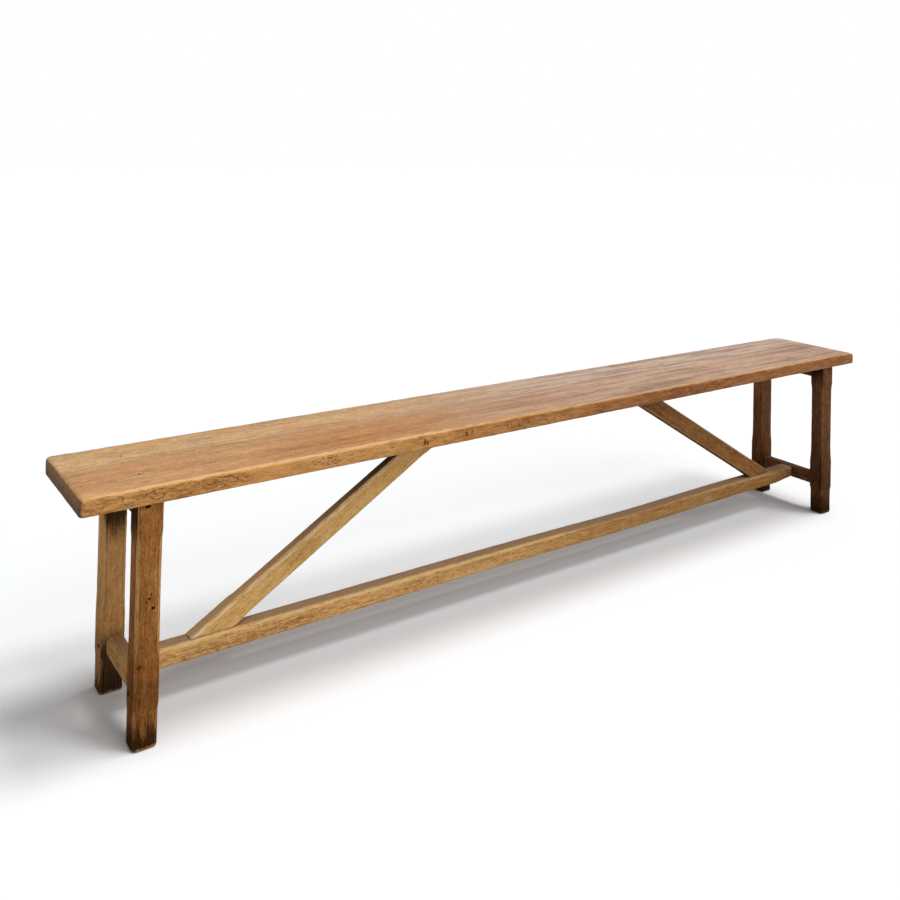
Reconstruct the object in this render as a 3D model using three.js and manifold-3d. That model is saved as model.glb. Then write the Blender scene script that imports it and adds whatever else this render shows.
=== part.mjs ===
// Oak monks bench: a plank seat on four stop-chamfered legs, two pegged end frames,
// one long stretcher and two long diagonal braces.
// Millimetres. X runs along the seat, Y from front to rear, Z up.
// The origin is on the floor, under the middle of the bench.
import * as THREE from 'three';
import { mergeVertices } from 'three/addons/utils/BufferGeometryUtils.js';
import Module from 'manifold-3d';

const wasm = await Module();
wasm.setup();

// Seat plank
const seatHeight = 470;
const seatLength = 2276;
const seatWidth = 269;
const seatThickness = 33;
const seatCornerRadius = 12;
const seatArris = 4;

// Legs
const endOverhang = 98;
const sideOverhang = 7.5;
const legWidth = 46;
const legTaper = 1;
const legLean = 3;
const legDepth = 43;
const legArris = 1.5;
const footArris = 3;
const legChamfer = 6;
const upperStopDrop = 42;
const upperStopRun = 28;
const lowerStopRise = 34;
const lowerStopRun = 55;
const footStopDrop = 2;
const footStopRun = 20;

// End rails
const topRailHeight = 36;
const topRailThickness = 28;
const lowRailHeight = 34;
const lowRailThickness = 30;
const lowRailBottom = 80;
const railInset = 11;
const railChamfer = 9;
const railArris = 1.5;

// Long stretcher
const stretcherBottom = 75;
const stretcherHeight = 37;
const stretcherWidth = 38;
const stretcherChamfer = 4;

// Diagonal braces
const braceDepth = 46;
const braceThickness = 30;
const braceChamfer = 5;
const braceArris = 1.5;
const braceStopLength = 48;
const braceStopRun = 26;
const braceFootSetback = 145;
const braceHeadShare = 0.2673;

// Tenons, pegs and nails
const tenonThickness = 10;
const tenonShoulder = 5;
const railTenonLength = 30;
const stretcherTenonWidth = 24;
const stretcherTenonHeight = 16;
const stretcherTenonLength = 20;
const braceTenonLength = 58;
const braceTenonReach = 14;
const pegRadius = 3.6;
const pegProud = 0.8;
const pegSetback = 13;
const topPegDrop = 15;
const lowPegRise = 13;
const pinRadius = 3.2;
const pinSunk = 1.5;
const pinGrip = 14;
const nailHead = 3.6;
const nailHeadHeight = 1.6;
const nailShank = 2.2;
const nailTip = 0.8;
const nailGrip = 26;
const nailSetback = 58;

// Gap left at every joint face, and the overrun of every cutting shape
const fitGap = 0.3;
const overrun = 5;

// How far a chamfer's stop curves before it runs straight, as a share of its run
const stopCurveShare = 0.35;
const chamferSides = 6;
const pegSides = 8;
const nailSides = 4;
const cornerSteps = 5;
const arrisSteps = 3;

// Places worked out from the driving sizes
const seatUnderside = seatHeight - seatThickness;
const legHeight = seatUnderside - fitGap;
const legX = seatLength / 2 - endOverhang - legWidth / 2;
const legY = seatWidth / 2 - sideOverhang - legDepth / 2;
const railSpan = 2 * legY - legDepth;
const lowRailTop = lowRailBottom + lowRailHeight;
const topRailBottom = seatUnderside - topRailHeight;
const lowRailX = legX + legWidth / 2 - railInset - lowRailThickness / 2;
const topRailX = legX + legWidth / 2 - railInset - topRailThickness / 2;
const stretcherTop = stretcherBottom + stretcherHeight;
const stretcherSpan = 2 * lowRailX - lowRailThickness;
const braceFootOffset = stretcherSpan / 2 - braceFootSetback;
const braceHeadOffset = (braceHeadShare * seatLength) / 2;
const stretcherTenonBottom = (lowRailBottom + stretcherTop - stretcherTenonHeight) / 2;
const braceRun = braceFootOffset - braceHeadOffset;
const braceRise = seatUnderside - stretcherTop;
const braceTilt = Math.atan2(braceRun, braceRise);
const braceLength = Math.hypot(braceRun, braceRise);

const sides = [['left', -1], ['right', 1]];
const rows = [['front', -1], ['rear', 1]];

const oak = { color: 0x9a6b3c, roughness: 0.6, metalness: 0 };
const oakTop = { color: 0xb08455, roughness: 0.55, metalness: 0 };
const oakDark = { color: 0x5a3a22, roughness: 0.7, metalness: 0 };
const iron = { color: 0x2b2724, roughness: 0.6, metalness: 0.8 };

// Closed solid from a three.js geometry
function solidOf(geometry) {
  const bare = geometry.clone();
  bare.deleteAttribute('normal');
  bare.deleteAttribute('uv');
  const merged = mergeVertices(bare);
  const vertProperties = Float32Array.from(merged.attributes.position.array);
  const triVerts = Uint32Array.from(merged.index.array);
  return new wasm.Manifold(new wasm.Mesh({ numProp: 3, vertProperties, triVerts }));
}

// three.js geometry from a closed solid
function geometryOf(solid) {
  const mesh = solid.getMesh();
  const geometry = new THREE.BufferGeometry();
  geometry.setAttribute('position', new THREE.BufferAttribute(Float32Array.from(mesh.vertProperties), 3));
  geometry.setIndex(new THREE.BufferAttribute(Uint32Array.from(mesh.triVerts), 1));
  const flat = geometry.toNonIndexed();
  flat.computeVertexNormals();
  return flat;
}

// Block with its lowest corner and its size given
function block(x, y, z, sizeX, sizeY, sizeZ) {
  const geometry = new THREE.BoxGeometry(sizeX, sizeY, sizeZ);
  geometry.translate(x + sizeX / 2, y + sizeY / 2, z + sizeZ / 2);
  return solidOf(geometry);
}

// Rectangle about the origin
function rectangle(width, height) {
  const x = width / 2;
  const y = height / 2;
  return new THREE.Shape([
    new THREE.Vector2(-x, -y),
    new THREE.Vector2(x, -y),
    new THREE.Vector2(x, y),
    new THREE.Vector2(-x, y),
  ]);
}

// Rectangle about the origin with its four corners cut: left-low, right-low, right-high, left-high
function cutRectangle(width, height, cuts) {
  const [a, b, c, d] = cuts;
  const x = width / 2;
  const y = height / 2;
  return new THREE.Shape([
    new THREE.Vector2(a - x, -y),
    new THREE.Vector2(x - b, -y),
    new THREE.Vector2(x, b - y),
    new THREE.Vector2(x, y - c),
    new THREE.Vector2(x - c, y),
    new THREE.Vector2(d - x, y),
    new THREE.Vector2(-x, y - d),
    new THREE.Vector2(-x, a - y),
  ]);
}

// Bar of a given section, extruded along its own length and centred on it
function bar(section, length) {
  const geometry = new THREE.ExtrudeGeometry(section, { depth: length, bevelEnabled: false });
  geometry.translate(0, 0, -length / 2);
  return geometry;
}

// Cutter for one chamfer on an upright corner, with a curved stop where it has a run at that end
function chamferCutter(cut, cornerX, cornerY) {
  const depth = cut.size / Math.SQRT2;
  const width = 2 * (depth + overrun);
  const profile = new THREE.Shape();
  profile.moveTo(overrun, cut.from);
  if (cut.runFrom > 0) {
    profile.lineTo(0, cut.from);
    const straight = cut.from + cut.runFrom;
    profile.quadraticCurveTo(-depth, cut.from + stopCurveShare * cut.runFrom, -depth, straight);
  } else {
    profile.lineTo(-depth, cut.from);
  }
  profile.lineTo(-depth, cut.to - cut.runTo);
  profile.quadraticCurveTo(-depth, cut.to - stopCurveShare * cut.runTo, 0, cut.to);
  profile.lineTo(overrun, cut.to);
  const geometry = new THREE.ExtrudeGeometry(profile, {
    depth: width,
    bevelEnabled: false,
    curveSegments: chamferSides,
  });
  geometry.translate(0, 0, -width / 2);
  const outward = new THREE.Vector3(Math.sign(cornerX), Math.sign(cornerY), 0).normalize();
  const up = new THREE.Vector3(0, 0, 1);
  const across = outward.clone().cross(up);
  const place = new THREE.Matrix4().makeBasis(outward, up, across);
  geometry.applyMatrix4(place.setPosition(cornerX, cornerY, 0));
  return solidOf(geometry);
}

// Cuts the same stopped chamfers on the four long corners of an upright timber
function chamferCorners(solid, sizeX, sizeY, cuts) {
  let result = solid;
  for (const cut of cuts) {
    for (const alongX of [-1, 1]) {
      for (const alongY of [-1, 1]) {
        result = result.subtract(chamferCutter(cut, (alongX * sizeX) / 2, (alongY * sizeY) / 2));
      }
    }
  }
  return result;
}

// Peg or its hole along X, with its middle at the origin
function crossPin(radius, length) {
  const geometry = new THREE.CylinderGeometry(radius, radius, length, pegSides);
  geometry.rotateZ(Math.PI / 2);
  return geometry;
}

// Square nail with its head at the origin and its tip below; grow and above are the room round and over it
function nailGeometry(grow, above) {
  const length = seatThickness + nailGrip;
  const corner = Math.SQRT2;
  const profile = [
    new THREE.Vector2(0, -length - grow),
    new THREE.Vector2((nailTip + grow) * corner, -length - grow),
    new THREE.Vector2((nailShank + grow) * corner, -nailHeadHeight - grow),
    new THREE.Vector2((nailHead + grow) * corner, -nailHeadHeight - grow),
    new THREE.Vector2((nailHead + grow) * corner, above),
    new THREE.Vector2(0, above),
  ];
  const geometry = new THREE.LatheGeometry(profile, nailSides, Math.PI / nailSides);
  geometry.rotateX(Math.PI / 2);
  return geometry;
}

function mesh(name, geometry, finish, x, y, z) {
  const node = new THREE.Mesh(geometry, new THREE.MeshStandardMaterial(finish));
  node.name = name;
  node.position.set(x, y, z);
  return node;
}

// Seat: one thick plank with rounded end corners and eased arrises
function seatPlank() {
  const x = seatLength / 2 - seatArris;
  const y = seatWidth / 2 - seatArris;
  const r = seatCornerRadius;
  const outline = new THREE.Shape();
  outline.moveTo(r - x, -y);
  outline.lineTo(x - r, -y);
  outline.absarc(x - r, r - y, r, -Math.PI / 2, 0, false);
  outline.absarc(x - r, y - r, r, 0, Math.PI / 2, false);
  outline.absarc(r - x, y - r, r, Math.PI / 2, Math.PI, false);
  outline.absarc(r - x, r - y, r, Math.PI, 1.5 * Math.PI, false);
  const geometry = new THREE.ExtrudeGeometry(outline, {
    depth: seatThickness - 2 * seatArris,
    bevelThickness: seatArris,
    bevelSize: seatArris,
    bevelSegments: arrisSteps,
    curveSegments: cornerSteps,
  });
  geometry.translate(0, 0, seatArris);
  let solid = solidOf(geometry);
  for (const [, side] of sides) {
    solid = solid.subtract(block(
      side * braceHeadOffset - braceTenonLength / 2 - fitGap,
      -tenonThickness / 2 - fitGap,
      -overrun,
      braceTenonLength + 2 * fitGap,
      tenonThickness + 2 * fitGap,
      overrun + braceTenonReach + fitGap,
    ));
    for (const [, row] of rows) {
      const hole = nailGeometry(fitGap, overrun);
      hole.translate(side * topRailX, row * nailSetback, seatThickness);
      solid = solid.subtract(solidOf(hole));
    }
  }
  return mesh('seat_plank', geometryOf(solid), oakTop, 0, 0, seatUnderside);
}

// Mortise in a leg's inner face for one rail's tenon
function legMortise(railX, side, row, bottom, height) {
  const reach = railTenonLength + fitGap;
  const y = row > 0 ? -legDepth / 2 - overrun : legDepth / 2 - reach;
  return block(
    side * (railX - legX) - tenonThickness / 2 - fitGap,
    y,
    bottom + tenonShoulder - fitGap,
    tenonThickness + 2 * fitGap,
    reach + overrun,
    height - 2 * tenonShoulder + 2 * fitGap,
  );
}

// Width of a leg along X at a given height
function legWidthAt(height) {
  return legWidth + (legTaper * height) / legHeight;
}

// How far a leg's outer face has come in towards the middle of the bench at a given height
function legLeanAt(height) {
  return (legLean * height) / legHeight;
}

function pegHole(row, height) {
  const hole = crossPin(pegRadius + fitGap, legWidth + 2 * (legLean + legTaper + overrun));
  hole.translate(0, row * (pegSetback - legDepth / 2), height);
  return solidOf(hole);
}

// Leg: square blocks at both rails, stopped chamfers between them and down to the foot;
// it leans in towards its head and grows a little wider there
function leg(side, row) {
  const section = rectangle(legWidth - 2 * footArris, legDepth - 2 * footArris);
  const blank = new THREE.ExtrudeGeometry(section, {
    depth: legHeight,
    bevelThickness: footArris,
    bevelSize: footArris,
    bevelSegments: arrisSteps,
  });
  blank.translate(0, 0, footArris);
  const above = 2 * footArris + overrun;
  const topCut = block(-legWidth, -legDepth, legHeight, 2 * legWidth, 2 * legDepth, above);
  let solid = solidOf(blank).subtract(topCut);
  solid = chamferCorners(solid, legWidth, legDepth, [
    { from: -overrun, to: legHeight + overrun, runFrom: 0, runTo: 0, size: legArris },
    { from: -overrun, to: lowRailBottom - footStopDrop, runFrom: 0, runTo: footStopRun, size: legChamfer },
    {
      from: lowRailTop + lowerStopRise,
      to: topRailBottom - upperStopDrop + upperStopRun,
      runFrom: lowerStopRun,
      runTo: upperStopRun,
      size: legChamfer,
    },
  ]);
  solid = solid.warp((vertex) => {
    const inward = 1 / 2 - (side * vertex[0]) / legWidth;
    const growth = legWidthAt(vertex[2]) - legWidth;
    vertex[0] -= side * (legLeanAt(vertex[2]) + inward * growth);
  });
  solid = solid.subtract(legMortise(topRailX, side, row, topRailBottom, topRailHeight));
  solid = solid.subtract(legMortise(lowRailX, side, row, lowRailBottom, lowRailHeight));
  solid = solid.subtract(pegHole(row, seatUnderside - topPegDrop));
  solid = solid.subtract(pegHole(row, lowRailBottom + lowPegRise));
  return geometryOf(solid);
}

// Rail of an end frame along Y, tenoned and drilled at both ends, with its underside at z = 0
function endRail(side, thickness, height, cuts, pegHeight, railX) {
  const body = bar(cutRectangle(thickness, height, cuts), railSpan - 2 * fitGap);
  body.rotateX(Math.PI / 2);
  body.translate(0, 0, height / 2);
  const reach = railSpan + 2 * railTenonLength;
  const tenon = block(
    -tenonThickness / 2,
    -reach / 2,
    tenonShoulder,
    tenonThickness,
    reach,
    height - 2 * tenonShoulder,
  );
  let solid = solidOf(body).add(tenon);
  for (const [, row] of rows) {
    const hole = crossPin(pegRadius + fitGap, legWidth + 2 * overrun);
    hole.translate(side * (legX - railX), row * (railSpan / 2 + pegSetback), pegHeight);
    solid = solid.subtract(solidOf(hole));
  }
  return solid;
}

function topRail(side) {
  const height = topRailHeight - fitGap;
  const cuts = [railArris, railArris, railArris, railArris];
  let solid = endRail(side, topRailThickness, height, cuts, topRailHeight - topPegDrop, topRailX);
  for (const [, row] of rows) {
    const hole = nailGeometry(fitGap, overrun);
    hole.translate(0, row * nailSetback, topRailHeight + seatThickness);
    solid = solid.subtract(solidOf(hole));
  }
  return geometryOf(solid);
}

// The low rail's top outer corner is chamfered; the stretcher's tenon and its pin enter it from both faces
function lowRail(side) {
  const outer = side > 0
    ? [railArris, railArris, railChamfer, railArris]
    : [railArris, railArris, railArris, railChamfer];
  let solid = endRail(side, lowRailThickness, lowRailHeight, outer, lowPegRise, lowRailX);
  const reach = stretcherTenonLength + fitGap + overrun;
  solid = solid.subtract(block(
    side > 0 ? -lowRailThickness / 2 - overrun : lowRailThickness / 2 + overrun - reach,
    -stretcherTenonWidth / 2 - fitGap,
    stretcherTenonBottom - lowRailBottom - fitGap,
    reach,
    stretcherTenonWidth + 2 * fitGap,
    stretcherTenonHeight + 2 * fitGap,
  ));
  const pinHole = crossPin(pinRadius + fitGap, lowRailThickness + 2 * overrun);
  pinHole.translate(0, 0, stretcherTenonBottom + stretcherTenonHeight / 2 - lowRailBottom);
  return geometryOf(solid.subtract(solidOf(pinHole)));
}

// Long stretcher along X, with worn top corners, an end tenon and pin hole, and two mortises for the braces
function longStretcher() {
  const cuts = [railArris, stretcherChamfer, stretcherChamfer, railArris];
  const section = cutRectangle(stretcherHeight, stretcherWidth, cuts);
  const body = bar(section, stretcherSpan - 2 * fitGap);
  body.rotateY(-Math.PI / 2);
  body.translate(0, 0, stretcherHeight / 2);
  const reach = stretcherSpan + 2 * stretcherTenonLength;
  let solid = solidOf(body).add(block(
    -reach / 2,
    -stretcherTenonWidth / 2,
    stretcherTenonBottom - stretcherBottom,
    reach,
    stretcherTenonWidth,
    stretcherTenonHeight,
  ));
  for (const [, side] of sides) {
    const pinHole = crossPin(pinRadius + fitGap, pinGrip + fitGap + overrun);
    const pinEnd = reach / 2 - pinGrip - fitGap;
    pinHole.translate(
      side * (pinEnd + (pinGrip + fitGap + overrun) / 2),
      0,
      stretcherTenonBottom + stretcherTenonHeight / 2 - stretcherBottom,
    );
    solid = solid.subtract(solidOf(pinHole));
    solid = solid.subtract(block(
      side * braceFootOffset - braceTenonLength / 2 - fitGap,
      -tenonThickness / 2 - fitGap,
      stretcherHeight - braceTenonReach - fitGap,
      braceTenonLength + 2 * fitGap,
      tenonThickness + 2 * fitGap,
      braceTenonReach + fitGap + overrun,
    ));
  }
  return mesh('long_stretcher', geometryOf(solid), oak, 0, 0, stretcherBottom);
}

// Brace from the stretcher's end up to the seat, cut level at both ends, with a stub tenon at each
function brace(side) {
  const reach = braceDepth + braceRun;
  const cuts = [braceArris, braceArris, braceArris, braceArris];
  const section = cutRectangle(braceDepth, braceThickness, cuts);
  const blank = bar(section, braceLength + 2 * braceDepth);
  blank.translate(0, 0, braceLength / 2);
  const clearOfEnd = braceStopLength + (braceDepth * braceRun) / braceRise / 2;
  const shaped = chamferCorners(solidOf(blank), braceDepth, braceThickness, [{
    from: clearOfEnd - braceStopRun,
    to: braceLength - clearOfEnd + braceStopRun,
    runFrom: braceStopRun,
    runTo: braceStopRun,
    size: braceChamfer,
  }]);
  const turned = geometryOf(shaped);
  turned.rotateY(-side * braceTilt);
  const slab = block(
    -reach * 2,
    -braceThickness,
    fitGap,
    reach * 4,
    2 * braceThickness,
    braceRise - 2 * fitGap,
  );
  let solid = solidOf(turned).intersect(slab);
  const tenonX = -braceTenonLength / 2;
  const tenonY = -tenonThickness / 2;
  const tenonHeight = braceTenonReach + 2 * fitGap;
  solid = solid.add(block(tenonX, tenonY, -braceTenonReach, braceTenonLength, tenonThickness, tenonHeight));
  solid = solid.add(block(
    tenonX - side * braceRun,
    tenonY,
    braceRise - 2 * fitGap,
    braceTenonLength,
    tenonThickness,
    tenonHeight,
  ));
  return geometryOf(solid);
}

const bench = new THREE.Group();
bench.add(seatPlank());
bench.add(longStretcher());

for (const [sideName, side] of sides) {
  const end = new THREE.Group();
  bench.add(end);
  end.add(mesh(`top_rail_${sideName}`, topRail(side), oak, side * topRailX, 0, topRailBottom));
  end.add(mesh(`low_rail_${sideName}`, lowRail(side), oak, side * lowRailX, 0, lowRailBottom));
  end.add(mesh(`brace_${sideName}`, brace(side), oak, side * braceFootOffset, 0, stretcherTop));
  const pinLength = lowRailThickness - stretcherTenonLength - pinSunk + pinGrip;
  end.add(mesh(
    `stretcher_pin_${sideName}`,
    crossPin(pinRadius, pinLength),
    oakDark,
    side * (lowRailX + lowRailThickness / 2 - pinSunk - pinLength / 2),
    0,
    stretcherTenonBottom + stretcherTenonHeight / 2,
  ));
  for (const [rowName, row] of rows) {
    const corner = `${rowName}_${sideName}`;
    const pegY = row * (railSpan / 2 + pegSetback);
    end.add(mesh(`leg_${corner}`, leg(side, row), oak, side * legX, row * legY, 0));
    const pegHeights = [['top', seatUnderside - topPegDrop], ['low', lowRailBottom + lowPegRise]];
    for (const [level, pegZ] of pegHeights) {
      const pegLength = legWidthAt(pegZ) + pegProud;
      const outerFace = legX + legWidth / 2 - legLeanAt(pegZ);
      const pegX = side * (outerFace + pegProud - pegLength / 2);
      end.add(mesh(`${level}_peg_${corner}`, crossPin(pegRadius, pegLength), oakDark, pegX, pegY, pegZ));
    }
    const nail = nailGeometry(0, 0);
    end.add(mesh(`seat_nail_${corner}`, nail, iron, side * topRailX, row * nailSetback, seatHeight));
  }
}

export default bench;
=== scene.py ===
import math
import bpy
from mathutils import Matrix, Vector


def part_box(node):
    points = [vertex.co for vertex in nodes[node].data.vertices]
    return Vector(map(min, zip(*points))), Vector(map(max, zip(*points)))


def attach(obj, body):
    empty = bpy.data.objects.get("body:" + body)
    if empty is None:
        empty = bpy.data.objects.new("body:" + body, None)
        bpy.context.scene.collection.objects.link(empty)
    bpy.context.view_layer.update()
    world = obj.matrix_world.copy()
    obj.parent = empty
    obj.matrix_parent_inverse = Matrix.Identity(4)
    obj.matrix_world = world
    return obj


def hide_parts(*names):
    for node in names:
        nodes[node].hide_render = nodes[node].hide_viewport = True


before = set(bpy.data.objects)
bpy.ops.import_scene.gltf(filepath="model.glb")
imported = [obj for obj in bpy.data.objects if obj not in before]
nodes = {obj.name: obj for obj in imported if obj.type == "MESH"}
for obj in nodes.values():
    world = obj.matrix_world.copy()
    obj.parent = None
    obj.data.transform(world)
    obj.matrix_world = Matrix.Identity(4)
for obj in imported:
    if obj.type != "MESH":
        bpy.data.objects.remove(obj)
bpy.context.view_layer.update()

from types import SimpleNamespace

import bmesh
import bpy
import numpy as np
from mathutils import Euler, Matrix, Vector

# Sizes of the seat, read from the frame, in metres
seat_low, seat_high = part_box("seat_plank")
seat_length = seat_high.x - seat_low.x
seat_width = seat_high.y - seat_low.y
seat_thickness = seat_high.z - seat_low.z

# Places that the finishes use, in millimetres
SEAT_TOP = seat_high.z * 1000
SEAT_HALF_WIDTH = seat_width * 500
SEAT_FRONT = -SEAT_HALF_WIDTH
LEG_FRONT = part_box("leg_front_left")[0].y * 1000
LOW_RAIL_HEIGHT = sum(corner.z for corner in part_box("low_rail_left")) * 500


def ink(red, green, blue):
    """Linear colour of a display colour given in 0 to 255."""
    def linear(value):
        value /= 255
        return value / 12.92 if value <= 0.04045 else ((value + 0.055) / 1.055) ** 2.4
    return (linear(red), linear(green), linear(blue), 1)


class Wire:
    """A shader socket that adds its Math nodes when it is reckoned with."""

    def __init__(self, finish, socket):
        self.finish = finish
        self.socket = socket

    def math(self, operation, *values):
        inputs = dict(enumerate(values))
        return self.finish.node("ShaderNodeMath", {"operation": operation}, inputs)

    def __add__(self, other):
        return self.math("ADD", self, other)

    def __radd__(self, other):
        return self.math("ADD", other, self)

    def __sub__(self, other):
        return self.math("SUBTRACT", self, other)

    def __rsub__(self, other):
        return self.math("SUBTRACT", other, self)

    def __mul__(self, other):
        return self.math("MULTIPLY", self, other)

    def __rmul__(self, other):
        return self.math("MULTIPLY", other, self)

    def __truediv__(self, other):
        return self.math("DIVIDE", self, other)

    def __neg__(self):
        return self.math("MULTIPLY", self, -1)

    def __abs__(self):
        return self.math("ABSOLUTE", self)

    def __pow__(self, other):
        return self.math("POWER", self, other)

    def most(self, other):
        return self.math("MAXIMUM", self, other)

    def fraction(self):
        return self.math("FRACT", self)

    def between(self, low, high):
        """0 below low, 1 above high and a smooth step between; the other way round if high is below low."""
        settings = {"interpolation_type": "SMOOTHSTEP"}
        if high < low:
            inputs = {"Value": self, "From Min": high, "From Max": low, "To Min": 1, "To Max": 0}
        else:
            inputs = {"Value": self, "From Min": low, "From Max": high}
        return self.finish.node("ShaderNodeMapRange", settings, inputs)


class Finish:
    """The nodes of a material or of the world."""

    def __init__(self, owner):
        owner.use_nodes = True
        self.owner = owner
        self.tree = owner.node_tree
        self.tree.nodes.clear()

    def node(self, kind, settings=None, inputs=None, out=0):
        """Adds a node and gives one of its outputs; the stops of a ramp are among the settings."""
        node = self.tree.nodes.new(kind)
        for key, value in (settings or {}).items():
            if key == "stops":
                elements = node.color_ramp.elements
                while len(elements) < len(value):
                    elements.new(0.5)
                for element, (position, colour) in zip(elements, value):
                    element.position = position
                    element.color = colour
            else:
                setattr(node, key, value)
        for key, value in (inputs or {}).items():
            if isinstance(value, Wire):
                self.tree.links.new(value.socket, node.inputs[key])
            else:
                node.inputs[key].default_value = value
        return Wire(self, node.outputs[out])

    def vector(self, operation, first, second, out=0):
        return self.node("ShaderNodeVectorMath", {"operation": operation}, {0: first, 1: second}, out)

    def place(self, turn=(0, 0, 0), shift=(0, 0, 0)):
        """Place on the piece in millimetres, turned and then shifted."""
        metres = self.node("ShaderNodeTexCoord", {}, {}, "Object")
        inputs = {"Vector": metres, "Scale": (1000, 1000, 1000), "Rotation": turn, "Location": shift}
        return self.node("ShaderNodeMapping", {}, inputs)

    def noise(self, at, sizes, shift=(0, 0, 0), detail=3, roughness=0.5):
        """Noise whose spots are sizes long, wide and deep, in the units of at."""
        place = self.vector("ADD", self.vector("MULTIPLY", at, [1 / size for size in sizes]), shift)
        inputs = {"Vector": place, "Scale": 1, "Detail": detail, "Roughness": roughness}
        return self.node("ShaderNodeTexNoise", {}, inputs)

    def mix(self, share, first, second, blend="MIX"):
        """First colour at a share of 0, second at 1."""
        settings = {"data_type": "RGBA", "blend_type": blend, "clamp_factor": True}
        return self.node("ShaderNodeMix", settings, {0: share, 6: first, 7: second}, 2)

    def tinted(self, colour, tint):
        """A colour seen through a tint."""
        return self.mix(1.0, colour, tint, "MULTIPLY")

    def ramp(self, value, stops):
        return self.node("ShaderNodeValToRGB", {"stops": stops}, {0: value})

    def parts(self, vector):
        tree_node = self.node("ShaderNodeSeparateXYZ", {}, {0: vector}).socket.node
        return [Wire(self, output) for output in tree_node.outputs]

    def far_from(self, at, centre, sizes):
        """Distance from centre, where sizes make up a distance of 1."""
        moved = self.vector("SUBTRACT", at, centre)
        scaled = self.vector("MULTIPLY", moved, [1 / size for size in sizes])
        return self.node("ShaderNodeVectorMath", {"operation": "LENGTH"}, {0: scaled}, "Value")

    def bump(self, height, distance, strength):
        inputs = {"Height": height, "Distance": distance, "Strength": strength}
        return self.node("ShaderNodeBump", {}, inputs)

    def shown_or_mirrored(self):
        """1 where the camera or a gloss sees the surface itself, 0 for the light that it sends on."""
        seen = self.node("ShaderNodeLightPath", {}, {}, "Is Camera Ray")
        return seen.most(self.node("ShaderNodeLightPath", {}, {}, "Is Glossy Ray"))

    def send(self, shader, output="ShaderNodeOutputMaterial"):
        """Links a shader to its output and gives back the material or world."""
        surface = self.tree.nodes.new(output).inputs["Surface"]
        self.tree.links.new(shader.socket, surface)
        return self.owner

    def shade(self, inputs):
        return self.send(self.node("ShaderNodeBsdfPrincipled", {}, inputs))


def new_finish(name):
    return Finish(bpy.data.materials.new(name))


# Turns of the grain: the first axis of the turned place runs along the timber, the third upwards or inwards
ALONG_X = (0, 0, 0)
ALONG_Y = (0, 0, -math.pi / 2)
ALONG_Z = (0, math.pi / 2, 0)


def slope_of(node):
    """Turn of the grain that follows a brace, from its largest upper face."""
    upper = [face for face in nodes[node].data.polygons if face.normal.z > 0.5]
    facing = max(upper, key=lambda face: face.area).normal
    return (0, math.atan2(-facing.x, facing.z), 0)


# Tones that several finishes share, and the width of a growth ring in millimetres
# Dark brown for grime, cracks and the top rails' upper faces, and for painted shade under the seat and
# darkening beside the low rail
GRIME_AND_SHADE = ink(42, 27, 16)
CRACK = ink(40, 25, 15)
KNOCKED = ink(190, 154, 116)
RING = 3.4


def largest_face(node, turn, pith, axis, side):
    """Place of a timber's largest face on one side, in the turned places of its grain."""
    spin = Euler(turn).to_matrix()
    facing = [face for face in nodes[node].data.polygons if (spin @ face.normal)[axis] * side > 0.99]
    largest = max(facing, key=lambda face: face.area)
    return (spin @ largest.center)[axis] * 1000 + pith[axis]


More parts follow.
